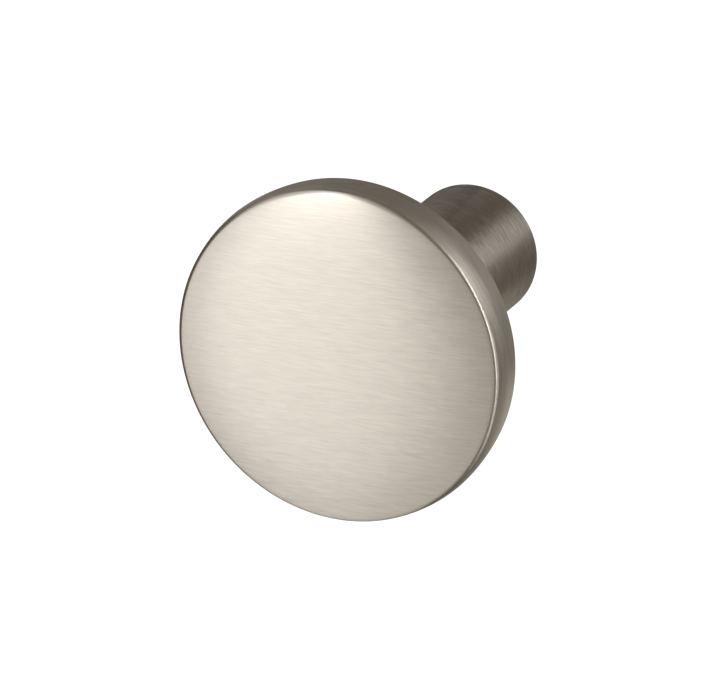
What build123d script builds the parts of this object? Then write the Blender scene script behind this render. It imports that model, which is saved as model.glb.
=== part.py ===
from build123d import *
from math import radians, tan
import os

# A round cabinet knob: a flat head with a softly rolled border on a plain round stem.
# It is cast in zinc as one piece and plated in satin nickel, so it is one solid.
# The knob is round about the Y axis. The base of the stem sits on the door in the
# plane y = 0, with the origin at its centre, and the face looks along -Y.
# All sizes are in millimetres and all angles in degrees.

# Head
head_diameter = 32.0  # over the front edge, before it is rounded
projection = 33.0  # from the door to the middle of the face
head_thickness = 5.0  # from the middle of the face to the rear edge of the rim
rim_draft = 5.0  # angle by which the rim narrows towards the door
shoulder_width = 3.0  # border inside the edge where the flat face rolls over
shoulder_drop = 0.35  # fall of the face across that border
front_edge_radius = 0.6
rear_edge_radius = 0.5
back_rise = 1.2  # the back of the head stands this much further out at the stem

# Stem
stem_diameter = 13.1
neck_radius = 2.5  # fillet between the back of the head and the stem
base_edge_radius = 0.8

# Blind hole for the 8-32 machine screw that comes through the door
screw_diameter = 4.17  # over the screw's thread
screw_clearance = 0.07  # all round, between the screw's thread and the wall
thread_depth = 12.7  # from the base to the end of the straight wall
mouth_width = 0.5  # ring that the countersink adds round the hole
mouth_angle = 90.0
drill_point_angle = 118.0

head_radius = head_diameter / 2
stem_radius = stem_diameter / 2
hole_radius = screw_diameter / 2 + screw_clearance

# Places along the axis, from the face to the back of the head
face_y = -projection
rim_front_y = face_y + shoulder_drop
rim_rear_y = face_y + head_thickness
neck_y = rim_rear_y + back_rise
rim_rear_radius = head_radius - (rim_rear_y - rim_front_y) * tan(radians(rim_draft))

# The door's side of the knob, looking out of the hole, and the end of its straight wall
base_plane = Plane(origin=(0, 0, 0), z_dir=(0, 1, 0))
drill_plane = Plane(origin=(0, -thread_depth, 0), z_dir=(0, -1, 0))
drill_point_height = hole_radius / tan(radians(drill_point_angle / 2))

with BuildPart() as knob:
    # Half of the section, from the middle of the face round to the middle of the base
    with BuildSketch(Plane.XY) as section:
        with BuildLine():
            face = Line((0, face_y), (head_radius - shoulder_width, face_y))
            shoulder = TangentArc(face @ 1, (head_radius, rim_front_y), tangent=face % 1)
            rim = Line(shoulder @ 1, (rim_rear_radius, rim_rear_y))
            back = Line(rim @ 1, (stem_radius, neck_y))
            stem = Line(back @ 1, (stem_radius, 0))
            base = Line(stem @ 1, (0, 0))
            Line(base @ 1, face @ 0)
        make_face()
        # The four corners between them are rounded, each to its own radius
        for corner, radius in (
            (shoulder @ 1, front_edge_radius),
            (rim @ 1, rear_edge_radius),
            (back @ 1, neck_radius),
            (stem @ 1, base_edge_radius),
        ):
            fillet(section.vertices().sort_by_distance(corner)[0], radius)
    revolve(axis=Axis.Y)

    # The tapped hole, countersunk at its mouth and coned at its end by the drill
    with Locations(base_plane):
        CounterSinkHole(hole_radius, hole_radius + mouth_width, thread_depth, mouth_angle)
    with Locations(drill_plane):
        Cone(
            hole_radius,
            0,
            drill_point_height,
            align=(Align.CENTER, Align.CENTER, Align.MIN),
            mode=Mode.SUBTRACT,
        )

knob.part.label = "knob"

os.makedirs("parts", exist_ok=True)
export_step(knob.part, "parts/knob.step")
print("knob volume", round(knob.part.volume, 1), "mm3")
print("knob box", knob.part.bounding_box())
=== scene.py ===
# %% [markdown]
# # A cabinet knob in satin nickel
#
# The knob is cast in zinc as one piece, plated with nickel and brushed. The brush
# goes straight across the flat face, and round and round on the rim and the stem.
# A knob like this is nearly all finish: its shape is one turned section, and what
# the eye enjoys is how the brushed metal takes the light. So this lesson turns the
# section, builds a studio for the metal to reflect, and spends most of its care on
# four small variations of one finish.
#
# The size and place of the knob are fixed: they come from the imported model, which
# the first cell loads. Its axis lies along Y, its face looks along -Y, and the
# origin is where the stem meets the door.

# %% Load the fixed frame
import math

import bmesh
import bpy
from mathutils import Euler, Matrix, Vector


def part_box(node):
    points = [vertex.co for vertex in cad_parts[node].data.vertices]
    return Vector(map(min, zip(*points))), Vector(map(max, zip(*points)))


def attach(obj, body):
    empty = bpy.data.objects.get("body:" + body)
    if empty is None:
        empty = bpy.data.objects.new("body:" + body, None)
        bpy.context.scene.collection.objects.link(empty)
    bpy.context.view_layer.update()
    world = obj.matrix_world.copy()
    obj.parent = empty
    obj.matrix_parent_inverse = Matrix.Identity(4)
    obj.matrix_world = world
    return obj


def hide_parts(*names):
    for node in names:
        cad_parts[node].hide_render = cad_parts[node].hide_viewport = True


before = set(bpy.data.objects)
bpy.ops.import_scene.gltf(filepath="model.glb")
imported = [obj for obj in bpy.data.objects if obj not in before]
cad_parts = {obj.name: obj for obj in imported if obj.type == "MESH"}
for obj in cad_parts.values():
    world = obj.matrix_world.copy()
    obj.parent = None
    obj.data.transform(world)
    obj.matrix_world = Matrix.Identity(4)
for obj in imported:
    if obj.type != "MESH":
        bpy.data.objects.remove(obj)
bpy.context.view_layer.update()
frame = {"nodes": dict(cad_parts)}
low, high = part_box("knob")
# Blender counts in metres, and the knob's sizes are easier to read in millimetres
millimetre = 0.001
face_centre = Vector((0, low.y, 0))
print("nodes in the packed model:", ", ".join(frame["nodes"]))
print("head across", round((high.x - low.x) / millimetre, 2), "mm")
print("projection", round((high.y - low.y) / millimetre, 2), "mm")

# %% [markdown]
# ## Camera
#
# The picture is taken from the right and from above with a long lens, so the round
# face shows as an oval and the stem peeps out behind it. A wide lens close by
# would make the stem shrink away behind the head. Here the camera's angles, its
# distance and the size of the face in the picture set everything else.

# %% Place the camera
image_width, image_height = 716, 700
sensor_width = 36.0
camera_azimuth = math.radians(23.70)
camera_elevation = math.radians(20.40)
camera_distance = 0.5086
nearest_seen = 0.01
focal_pixels = 5660.0
face_pixel_x, face_pixel_y = 334.4, 359.7

camera_data = bpy.data.cameras.new("camera")
camera = bpy.data.objects.new("camera", camera_data)
bpy.context.scene.collection.objects.link(camera)
bpy.context.scene.camera = camera
camera_data.sensor_width = sensor_width
camera_data.lens = focal_pixels * sensor_width / image_width
camera_data.clip_start = nearest_seen

camera.rotation_euler = Euler((math.pi / 2 - camera_elevation, 0, camera_azimuth))
turn = camera.rotation_euler.to_matrix()
right, up, back = turn.col[0], turn.col[1], turn.col[2]
pixel = camera_distance / focal_pixels
offset_right = (image_width / 2 - face_pixel_x) * pixel
offset_up = (face_pixel_y - image_height / 2) * pixel
camera.location = face_centre + back * camera_distance + right * offset_right + up * offset_up
print("camera at", tuple(round(v, 4) for v in camera.location))
print("one pixel is", round(pixel / millimetre, 3), "mm on the knob")

# %% [markdown]
# ## The knob's own surface
#
# On the real casting the face has no flat middle with a border set round it: it
# is flat at its middle and falls away ever faster towards the edge. The packed
# solid has the same size and edge, with a plain arc for that fall, and brushed
# metal shows where an arc begins. So the visible surface is turned again from the
# same section, with a smooth fall. The rim bulges a little, which keeps its
# reflections soft. On a lathe that is one section and one spin. The same shape
# could be carved from a cylinder, but a section keeps every radius in plain sight.
#
# Each place in the section is a radius from the axis and a place along it. The
# face looks along -Y, so low.y is its middle and high.y is the base on the door.

# %% Places in the section
front_edge = (15.68 * millimetre, low.y + 0.45 * millimetre)
bulge = (15.96 * millimetre, low.y + 2.1 * millimetre)
rim_rear = (15.593 * millimetre, low.y + 5.0 * millimetre)
stem_radius = 6.55 * millimetre
neck = (stem_radius, low.y + 6.2 * millimetre)
base_corner = (stem_radius, high.y)

# The screw hole: a countersunk mouth, a straight wall and the cone that a drill leaves
wall_radius = 2.155 * millimetre
mouth = (2.655 * millimetre, high.y)
wall_top = (wall_radius, high.y - 0.5 * millimetre)
wall_bottom = (wall_radius, high.y - 12.7 * millimetre)
drill_point = (0.0, high.y - 13.995 * millimetre)
print("rim depth", round((rim_rear[1] - front_edge[1]) / millimetre, 2), "mm")

# %% [markdown]
# ### Two curves in the section
#
# A power of the distance gives both curves. A high power stays flat for long and
# falls late, as the face does. A low one bends evenly, as the rim does on each side
# of its widest ring.

# %% The curves of face and rim
face_power = 6
face_steps = 22
rim_power = 1.7
rim_steps = 8

face_curve = []
for step in range(face_steps + 1):
    part = step / face_steps
    fall = (front_edge[1] - low.y) * part**face_power
    face_curve.append((front_edge[0] * part, low.y + fall))


def rim_curve(end):
    """Places on the rim from next to its widest ring to just before one of its ends."""
    places = []
    for step in range(1, rim_steps):
        part = step / rim_steps
        fall = (bulge[0] - end[0]) * part**rim_power
        places.append((bulge[0] - fall, bulge[1] + (end[1] - bulge[1]) * part))
    return places


rim = rim_curve(front_edge)[::-1] + [bulge] + rim_curve(rim_rear)
hole = [mouth, wall_top, wall_bottom, drill_point]
section = face_curve + rim + [rim_rear, neck, base_corner] + hole
print("places in the section", len(section))

# %% Turn the section
turning_steps = 160
weld = 0.001 * millimetre

shape = bmesh.new()
points = [shape.verts.new((x, y, 0)) for x, y in section]
for first, second in zip(points, points[1:]):
    shape.edges.new((first, second))
bmesh.ops.spin(
    shape,
    geom=shape.verts[:] + shape.edges[:],
    cent=(0, 0, 0),
    axis=(0, 1, 0),
    angle=2 * math.pi,
    steps=turning_steps,
    use_merge=True,
)
bmesh.ops.remove_doubles(shape, verts=shape.verts, dist=weld)
bmesh.ops.recalc_face_normals(shape, faces=shape.faces)
print("turned faces", len(shape.faces))

# %% [markdown]
# ### Round corners
#
# No casting has a sharp corner, and each round one draws its own thin line of
# light. They could be arcs in the section. Here they are bevels on the rings where
# two sides meet, because a bevel needs only its radius. Its offset is how far from
# the corner a round of that radius begins, and that follows from the angle by
# which the surface turns there.

# %% A bevel on a ring
corner_segments = 8
ring_reach = 5 * weld


def ring_at(shape, radius, y):
    """The edges of the ring at a radius from the axis and a place along it."""
    ring = []
    for edge in shape.edges:
        radii = [math.hypot(v.co.x, v.co.z) for v in edge.verts]
        places = [v.co.y for v in edge.verts]
        on_radius = all(abs(r - radius) < ring_reach for r in radii)
        on_place = all(abs(place - y) < ring_reach for place in places)
        if on_radius and on_place:
            ring.append(edge)
    return ring


def round_corner(shape, corner, radius, turn):
    """Bevels the ring at a corner to a radius, where the surface turns by so many degrees."""
    bmesh.ops.bevel(
        shape,
        geom=ring_at(shape, *corner),
        offset=radius * math.tan(math.radians(turn / 2)),
        offset_type="OFFSET",
        segments=corner_segments,
        profile=0.5,
        affect="EDGES",
        material=-1,
    )


# %% Round the four corners
round_corner(shape, front_edge, radius=0.55 * millimetre, turn=61)
round_corner(shape, rim_rear, radius=0.5 * millimetre, turn=69)
round_corner(shape, neck, radius=2.5 * millimetre, turn=82.4)
round_corner(shape, base_corner, radius=0.8 * millimetre, turn=90)
print("faces with round corners", len(shape.faces))

# %% [markdown]
# ### From shape to piece
#
# Smooth shading hides the facets. The corners of the hole stay sharp, because a
# drill leaves them so. Weighted normals let the large faces decide the shading, so
# the narrow rings of a round corner don't pull it about. The piece then takes the
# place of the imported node, and rides on the knob's one body.

# %% Make the piece
sharp_angle = math.radians(30)


def new_object(name, shape):
    """Turns a bmesh into an object of the scene and frees it."""
    mesh = bpy.data.meshes.new(name)
    shape.to_mesh(mesh)
    shape.free()
    made = bpy.data.objects.new(name, mesh)
    bpy.context.scene.collection.objects.link(made)
    return made


body = new_object("turned_knob", shape)
body.data.shade_smooth()
body.data.set_sharp_from_angle(angle=sharp_angle)
even = body.modifiers.new("even_normals", "WEIGHTED_NORMAL")
even.keep_sharp = True
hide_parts("knob")
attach(body, "root")
print("knob faces", len(body.data.polygons))

# %% [markdown]
# ## Helpers for materials
#
# Colours are picked as sRGB hex values, as on a colour card, but the shader
# counts in linear light, so one function turns the first into the second. Another
# adds a node, sets its values and links its inputs, so that a material reads as a
# short list of nodes.

# %% Colour and node helpers
def linear(hex_colour):
    """An sRGB colour such as "#d3ccc2" as linear red, green, blue and alpha."""
    channels = [int(hex_colour[i : i + 2], 16) / 255 for i in (1, 3, 5)]
    # The curve of the sRGB standard: a straight foot, and a power above it
    bent = [c / 12.92 if c <= 0.04045 else ((c + 0.055) / 1.055) ** 2.4 for c in channels]
    return (*bent, 1.0)


def add_node(tree, kind, inputs=None, **settings):
    """Adds a node. inputs maps a socket to a value or to another node's output."""
    node = tree.nodes.new(kind)
    for name, value in settings.items():
        setattr(node, name, value)
    for socket, value in (inputs or {}).items():
        if isinstance(value, bpy.types.NodeSocket):
            tree.links.new(value, node.inputs[socket])
        else:
            node.inputs[socket].default_value = value
    return node


def new_material(name):
    """An empty node material with its output, as material, tree and output."""
    material = bpy.data.materials.new(name)
    material.use_nodes = True
    material.node_tree.nodes.clear()
    output = material.node_tree.nodes.new("ShaderNodeOutputMaterial")
    return material, material.node_tree, output


# %% [markdown]
# ## Studio
#
# Metal has hardly any colour of its own: the eye sees what it reflects. In the
# picture the face shows a broad soft light at the left, and the rim and the stem
# show a dark studio behind. A few lamps in an empty room would not do: the metal
# between their reflections would mirror the white surroundings. So the room is
# white for the camera, and a cloth tent round the knob, open in three places,
# gives the metal its darks. Only reflections meet the tent.
#
# The surroundings are white wherever they are seen, directly or in a reflection.
# As light for matt things, such as the floor, they are weaker: the lamps add the
# rest.

# %% White surroundings
ambient_strength = 0.6
white_strength = 1.0


def seen_as_picture(tree):
    """One where a ray carries a picture: to the camera, off a gloss or through glass."""
    light_path = add_node(tree, "ShaderNodeLightPath")
    seen = add_node(
        tree,
        "ShaderNodeMath",
        {0: light_path.outputs["Is Camera Ray"], 1: light_path.outputs["Is Glossy Ray"]},
        operation="MAXIMUM",
    )
    seen = add_node(
        tree,
        "ShaderNodeMath",
        {0: seen.outputs[0], 1: light_path.outputs["Is Transmission Ray"]},
        operation="MAXIMUM",
    )
    return seen.outputs[0]


world = bpy.data.worlds.new("studio")
bpy.context.scene.world = world
world.use_nodes = True
tree = world.node_tree
tree.nodes.clear()
strength = add_node(
    tree,
    "ShaderNodeMix",
    {"Factor": seen_as_picture(tree), "A": ambient_strength, "B": white_strength},
    data_type="FLOAT",
)
background = add_node(
    tree,
    "ShaderNodeBackground",
    {"Color": linear("#ffffff"), "Strength": strength.outputs["Result"]},
)
add_node(tree, "ShaderNodeOutputWorld", {"Surface": background.outputs[0]})
bpy.context.scene.view_settings.view_transform = "Standard"
print("surroundings light matt things at", ambient_strength, "and are seen at", white_strength)

# %% [markdown]
# ## Floor
#
# The floor is white paper, well below the knob, so that it stays plain and even.
# Paper alone renders a little grey where the lamps don't reach. More light would
# cure that and spoil the metal, so the paper glows instead where it is seen. The
# glow lights nothing: matt things don't meet it.

# %% Pale floor
floor_drop = 0.09
floor_size = 1.6
floor_glow = 0.55

shape = bmesh.new()
bmesh.ops.create_grid(shape, x_segments=1, y_segments=1, size=floor_size / 2)
bmesh.ops.translate(shape, verts=shape.verts, vec=(0, 0, low.z - floor_drop))
floor = new_object("floor", shape)

paper, tree, output = new_material("white_paper")
matt = add_node(tree, "ShaderNodeBsdfDiffuse", {"Color": linear("#f4f3f1")})
glow_strength = add_node(
    tree, "ShaderNodeMath", {0: seen_as_picture(tree), 1: floor_glow}, operation="MULTIPLY"
)
glow = add_node(
    tree,
    "ShaderNodeEmission",
    {"Color": linear("#ffffff"), "Strength": glow_strength.outputs[0]},
)
surface = add_node(tree, "ShaderNodeAddShader", {0: matt.outputs[0], 1: glow.outputs[0]})
tree.links.new(surface.outputs[0], output.inputs["Surface"])
floor.data.materials.append(paper)
print("floor", floor_drop / millimetre, "mm below the knob")

# %% [markdown]
# ## Tent
#
# A photographer hangs cloth and card round a piece of metal and leaves gaps for the
# lamps. Here the tent is a sphere round the knob, and its cloth is cut out by
# azimuth and elevation, as on a globe: azimuth 0 is in front of the face and +90 is
# at its right. Each patch is painted in one flat tone, like paper lit evenly, so
# its place alone decides what the metal shows.
#
# The left opening feeds the face, the middle one the bright line on the head's
# edge, and the right one the light band along the stem. Pale and grey cloth round
# the left opening let the face fade slowly, and grey cloth above and below the
# middle one softens the ends of the bright line. Dim cloth stands where the face
# darkens at its right, and brown cloth closes the rest.

# %% Boards that only reflections meet
def board_paint(name, hex_colour):
    """Plain paint of a fixed brightness, whatever light falls on the board."""
    paint, tree, output = new_material(name)
    flat = add_node(tree, "ShaderNodeEmission", {"Color": linear(hex_colour)})
    tree.links.new(flat.outputs[0], output.inputs["Surface"])
    return paint


def stage_board(name, shape, hex_colour):
    """Puts a bmesh in the studio as a board in one colour, for reflections only."""
    board = new_object(name, shape)
    board.data.materials.append(board_paint(name, hex_colour))
    board.visible_camera = False
    board.visible_diffuse = False
    board.visible_shadow = False


# %% Where the cloth hangs
# Each area is its lowest and highest azimuth, then its lowest and highest elevation.
openings = {
    "left": (-52, -16, -26, 40),
    "middle": (38, 58, 0, 28),
    "right": (79, 103, 14, 57),
}
cloths = {
    "pale_cloth": (
        "#dbd8d3",
        (
            (-62, 28, -82, -38),
            (-16, 8, -38, -18),
            (-16, 8, 27, 62),
            (-78, -16, 40, 58),
            (-78, -52, 18, 40),
        ),
    ),
    "grey_cloth": (
        "#afaba5",
        (
            (-62, -16, -38, -26),
            (-16, 8, -18, 27),
            (38, 58, -38, -2),
            (38, 58, 28, 62),
            (58, 84, -38, 62),
        ),
    ),
    "dim_cloth": ("#7d7770", ((8, 38, -38, 62),)),
}
rest_colour = "#625b53"
print("openings", len(openings), "patches", sum(len(areas) for _, areas in cloths.values()))

# %% Hang the tent
tent_radius = 0.10
tent_steps = 72


def within(face, area):
    """Whether a face of the tent, seen from its middle, lies in an area."""
    point = face.calc_center_median()
    azimuth = math.degrees(math.atan2(point.x, -point.y))
    elevation = math.degrees(math.asin(point.z / point.length))
    return area[0] < azimuth < area[1] and area[2] < elevation < area[3]


def in_any(face, areas):
    """Whether a face of the tent lies in one of the areas."""
    return any(within(face, area) for area in areas)


def tent_part(wanted):
    """The faces of the tent's sphere that pass the test, as a bmesh round the knob."""
    shape = bmesh.new()
    bmesh.ops.create_uvsphere(
        shape, u_segments=tent_steps, v_segments=tent_steps // 2, radius=tent_radius
    )
    spare = [face for face in shape.faces if not wanted(face)]
    bmesh.ops.delete(shape, geom=spare, context="FACES")
    bmesh.ops.translate(shape, verts=shape.verts, vec=(0, low.y / 2, 0))
    return shape


taken = list(openings.values())
for name, (colour, areas) in cloths.items():
    stage_board(name, tent_part(lambda face: in_any(face, areas)), colour)
    taken.extend(areas)
rest = tent_part(lambda face: not in_any(face, taken))
print("faces of brown cloth", len(rest.faces))
stage_board("brown_cloth", rest, rest_colour)

# %% [markdown]
# ## Cards
#
# Two small cards stand close behind the knob. At its lower right the rim is seen
# so flatly that it mirrors what stands behind it: the pale card lightens it there.
# The stem's top does the same further up, and the dark card draws its outline.
# They stand too close to be part of the tent: moved out to it, they would show in
# the rim and the stem alike.

# %% Two small cards behind the knob
# A grid's size is half its side, so the card is a metre wide until it is scaled
half_metre = 0.5


def stage_card(name, hex_colour, centre, width, height, tilt, lean):
    """A small card with its place and sides in metres, and its tilt and lean in degrees."""
    shape = bmesh.new()
    bmesh.ops.create_grid(shape, x_segments=1, y_segments=1, size=half_metre)
    bmesh.ops.scale(shape, verts=shape.verts, vec=(width, height, 1))
    upright = Euler((math.radians(tilt), math.radians(lean), 0)).to_matrix()
    bmesh.ops.rotate(shape, verts=shape.verts, cent=(0, 0, 0), matrix=upright)
    bmesh.ops.translate(shape, verts=shape.verts, vec=centre)
    stage_board(name, shape, hex_colour)
    print(name, "is", round(width / millimetre), "by", round(height / millimetre), "mm")


stage_card(
    "pale_card",
    "#cdc7bf",
    centre=(0.012, 0.0044, -0.027),
    width=0.050,
    height=0.020,
    tilt=65,
    lean=-14,
)
stage_card(
    "dark_card",
    "#1f1b18",
    centre=(-0.017, 0.010, 0.0135),
    width=0.030,
    height=0.015,
    tilt=110,
    lean=0,
)

# %% [markdown]
# ## Lamps
#
# Three soft lamps shine in through the openings, one for each. Soft means wide for
# their distance: a small lamp would draw a hard bright streak on brushed metal. A
# lamp is given by its brightness to the eye, because that is what the metal shows.
# A flat lamp of that brightness sends out pi times as much from each square metre.

# %% Soft lamps
def add_lamp(name, azimuth, elevation, distance, width, height, brightness):
    """A soft rectangular lamp that faces the knob, with its place in degrees and metres."""
    data = bpy.data.lights.new(name, "AREA")
    data.shape = "RECTANGLE"
    data.size = width
    data.size_y = height
    data.energy = brightness * math.pi * width * height
    lamp = bpy.data.objects.new(name, data)
    bpy.context.scene.collection.objects.link(lamp)
    a, e = math.radians(azimuth), math.radians(elevation)
    toward = Vector((math.sin(a) * math.cos(e), -math.cos(a) * math.cos(e), math.sin(e)))
    lamp.rotation_euler = toward.to_track_quat("Z", "Y").to_euler()
    lamp.location = face_centre + toward * distance
    lamp.visible_camera = False
    print(name, round(data.energy, 3), "W")


add_lamp(
    "lamp_left",
    azimuth=-26.4,
    elevation=29,
    distance=0.36,
    width=0.08,
    height=0.22,
    brightness=4.8,
)
add_lamp(
    "lamp_edge",
    azimuth=49,
    elevation=13,
    distance=0.26,
    width=0.10,
    height=0.10,
    brightness=5.0,
)
add_lamp(
    "lamp_stem",
    azimuth=91,
    elevation=34,
    distance=0.26,
    width=0.08,
    height=0.15,
    brightness=3.6,
)

# %% [markdown]
# ## Satin nickel
#
# Nickel plate is a warm grey metal. A fine abrasive belt leaves hair-thin grooves,
# and they spread a highlight across themselves far more than along themselves, so
# the eye sees soft bands of light with fine streaks in them. A plain rough metal
# would spread it evenly and look sandblasted. One shader with anisotropy does it,
# when its tangent lies across the grooves: up and down on the face, along the
# knob's axis on the rim and the stem.
#
# Real grooves are about 0.03 mm wide, a third of a pixel, so they are drawn as
# coarse as they need to be to show: 0.11 mm on the face and 0.18 mm on the rest.

# %% Which way the grooves run
def straight_grain(tree, place, width, length):
    """Grooves along X: gives the pattern's coordinates and the grooves' direction."""
    pattern = add_node(
        tree,
        "ShaderNodeVectorMath",
        {0: place, 1: (1 / length, 1 / length, 1 / width)},
        operation="MULTIPLY",
    )
    groove = add_node(tree, "ShaderNodeCombineXYZ", {"X": 1.0, "Y": 0.0, "Z": 0.0})
    return pattern.outputs[0], groove.outputs[0]


def round_grain(tree, place, width, length):
    """Grooves round the axis, as long as given on the stem and longer further out."""
    arc = length / stem_radius
    from_axis = add_node(
        tree, "ShaderNodeVectorMath", {0: place, 1: (1, 0, 1)}, operation="MULTIPLY"
    ).outputs[0]
    outward = add_node(
        tree, "ShaderNodeVectorMath", {0: from_axis}, operation="NORMALIZE"
    ).outputs[0]
    reach = add_node(
        tree, "ShaderNodeVectorMath", {0: from_axis}, operation="LENGTH"
    ).outputs["Value"]
    # Along the axis on the rim and the stem, and outwards on the back and the base
    axis_place = add_node(tree, "ShaderNodeSeparateXYZ", {0: place}).outputs["Y"]
    travel = add_node(
        tree, "ShaderNodeMath", {0: axis_place, 1: reach}, operation="SUBTRACT"
    ).outputs[0]
    lines = add_node(
        tree, "ShaderNodeMath", {0: travel, 1: 1 / width}, operation="MULTIPLY"
    ).outputs[0]
    stripes = add_node(tree, "ShaderNodeCombineXYZ", {"X": 0.0, "Y": lines, "Z": 0.0})
    pattern = add_node(
        tree,
        "ShaderNodeVectorMath",
        {0: outward, 1: (1 / arc, 1 / arc, 1 / arc), 2: stripes.outputs[0]},
        operation="MULTIPLY_ADD",
    )
    groove = add_node(
        tree, "ShaderNodeVectorMath", {0: outward, 1: (0, 1, 0)}, operation="CROSS_PRODUCT"
    )
    return pattern.outputs[0], groove.outputs[0]


# %% [markdown]
# ### One function for the finish
#
# A noise that is stretched along the grooves stands for the brush. It does three
# small things at once, as real grooves do: it shades the metal between two close
# tones, varies its polish, and tips its surface by a few thousandths of a
# millimetre. Noise keeps mostly to the middle of its range, so that middle is
# widened to the whole.

# %% Brushed nickel
noise_detail = 4.0
noise_roughness = 0.7
noise_low, noise_high = 0.3, 0.7
# A Mix node has a set of sockets for each kind of value; these are those for colours
mix_colour_a, mix_colour_b, mix_colour_result = 6, 7, 2


def brushed_nickel(name, grain, width, length, depth, dark, light, roughness, spread, brushing):
    """Nickel plate with straight or round grain.

    Width, length and depth are those of a groove. Dark and light are the tones
    between which the metal varies, and spread is how far its roughness does.
    Brushing is the anisotropy: how much more the light spreads across the grooves.
    """
    material, tree, output = new_material(name)
    place = add_node(tree, "ShaderNodeTexCoord").outputs["Object"]
    normal = add_node(tree, "ShaderNodeNewGeometry").outputs["Normal"]
    pattern, groove = grain(tree, place, width, length)
    across = add_node(
        tree, "ShaderNodeVectorMath", {0: groove, 1: normal}, operation="CROSS_PRODUCT"
    )
    # The coordinates carry the grooves' sizes, so the noise keeps a scale of one
    noise = add_node(
        tree,
        "ShaderNodeTexNoise",
        {"Vector": pattern, "Scale": 1.0, "Detail": noise_detail, "Roughness": noise_roughness},
    ).outputs[0]
    tone = add_node(
        tree,
        "ShaderNodeMapRange",
        {"Value": noise, "From Min": noise_low, "From Max": noise_high},
    )
    colour = add_node(
        tree,
        "ShaderNodeMix",
        {0: tone.outputs["Result"], mix_colour_a: linear(dark), mix_colour_b: linear(light)},
        data_type="RGBA",
    )
    polish = add_node(
        tree,
        "ShaderNodeMapRange",
        {
            "Value": noise,
            "From Min": noise_low,
            "From Max": noise_high,
            "To Min": roughness - spread,
            "To Max": roughness + spread,
        },
    )
    relief = add_node(
        tree, "ShaderNodeBump", {"Strength": 1.0, "Distance": depth, "Height": noise}
    )
    metal = add_node(
        tree,
        "ShaderNodeBsdfPrincipled",
        {
            "Base Color": colour.outputs[mix_colour_result],
            "Metallic": 1.0,
            "Roughness": polish.outputs["Result"],
            "Anisotropic": brushing,
            "Tangent": across.outputs[0],
            "Normal": relief.outputs[0],
        },
    )
    tree.links.new(metal.outputs[0], output.inputs["Surface"])
    return material


# %% [markdown]
# ### Four parts of one finish
#
# The same nickel looks different where the belt met it differently. The face is
# brushed hardest and straight across, so its light spreads up and down. Its edge
# has only been wiped over by the same belt: with deeper grooves its thin bright
# line would break up. The rim is held against a soft wheel and stays more even. The
# stem, the back and the base are turned against a belt, which leaves the clearest
# streaks, in a band of light along the stem.

# %% Finishes of face, edge, rim and stem
finishes = [
    brushed_nickel(
        "satin_nickel_face",
        grain=straight_grain,
        width=0.11 * millimetre,
        length=2.1 * millimetre,
        depth=0.0024 * millimetre,
        dark="#cac3b9",
        light="#dbd4ca",
        roughness=0.36,
        spread=0.04,
        brushing=0.92,
    ),
    brushed_nickel(
        "satin_nickel_edge",
        grain=straight_grain,
        width=0.11 * millimetre,
        length=2.1 * millimetre,
        depth=0.0004 * millimetre,
        dark="#cfc8be",
        light="#d7d0c6",
        roughness=0.40,
        spread=0.0,
        brushing=0.92,
    ),
    brushed_nickel(
        "satin_nickel_rim",
        grain=round_grain,
        width=0.18 * millimetre,
        length=1.441 * millimetre,
        depth=0.004 * millimetre,
        dark="#cbc4ba",
        light="#dfd8ce",
        roughness=0.46,
        spread=0.04,
        brushing=0.50,
    ),
    brushed_nickel(
        "satin_nickel_stem",
        grain=round_grain,
        width=0.18 * millimetre,
        length=1.441 * millimetre,
        depth=0.008 * millimetre,
        dark="#bfb8ae",
        light="#e3dcd2",
        roughness=0.34,
        spread=0.04,
        brushing=0.92,
    ),
]
for finish in finishes:
    body.data.materials.append(finish)
stem_finish = finishes[-1]
print("finishes", ", ".join(finish.name for finish in finishes))

# %% Give each face its finish
edge_from = low.y + 0.39 * millimetre
rim_from = front_edge[1] + 0.25 * millimetre
rim_to = rim_rear[1] - 0.3 * millimetre
borders = (edge_from, rim_from, rim_to)

counts = [0] * len(finishes)
for polygon in body.data.polygons:
    polygon.material_index = sum(polygon.center.y > border for border in borders)
    counts[polygon.material_index] += 1
print("faces with the face, edge, rim and stem finish", counts)

# %% [markdown]
# ## Thread in the screw hole
#
# A tap cuts an 8-32 thread into the hole, so a ridge winds inwards from the wall.
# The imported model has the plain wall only. A screw modifier could wind it, but the
# ridge is one small section, swept round the axis and inwards at the same time,
# which is just what a spin with a step along its axis does. Its foot stands in the
# wall, so no gap shows between them.

# %% Sweep the ridge
foot_radius = wall_radius + 0.03 * millimetre
crest_radius = 1.74 * millimetre
foot_width = 0.70 * millimetre
crest_width = 0.10 * millimetre
pitch = 0.794 * millimetre
ridge_start = -1.0 * millimetre
ridge_turns = 14
steps_per_turn = 32

shape = bmesh.new()
ridge_section = [
    (foot_radius, ridge_start + foot_width / 2),
    (foot_radius, ridge_start - foot_width / 2),
    (crest_radius, ridge_start - crest_width / 2),
    (crest_radius, ridge_start + crest_width / 2),
]
first_face = shape.faces.new([shape.verts.new((x, y, 0)) for x, y in ridge_section])
bmesh.ops.spin(
    shape,
    geom=[first_face],
    cent=(0, 0, 0),
    axis=(0, 1, 0),
    dvec=(0, -pitch / steps_per_turn, 0),
    angle=2 * math.pi * ridge_turns,
    steps=ridge_turns * steps_per_turn,
)
bmesh.ops.recalc_face_normals(shape, faces=shape.faces)
ridge = new_object("screw_thread", shape)
ridge.data.materials.append(stem_finish)
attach(ridge, "root")
depths = [vertex.co.y / millimetre for vertex in ridge.data.vertices]
print("thread from", round(max(depths), 2), "to", round(min(depths), 2), "mm")
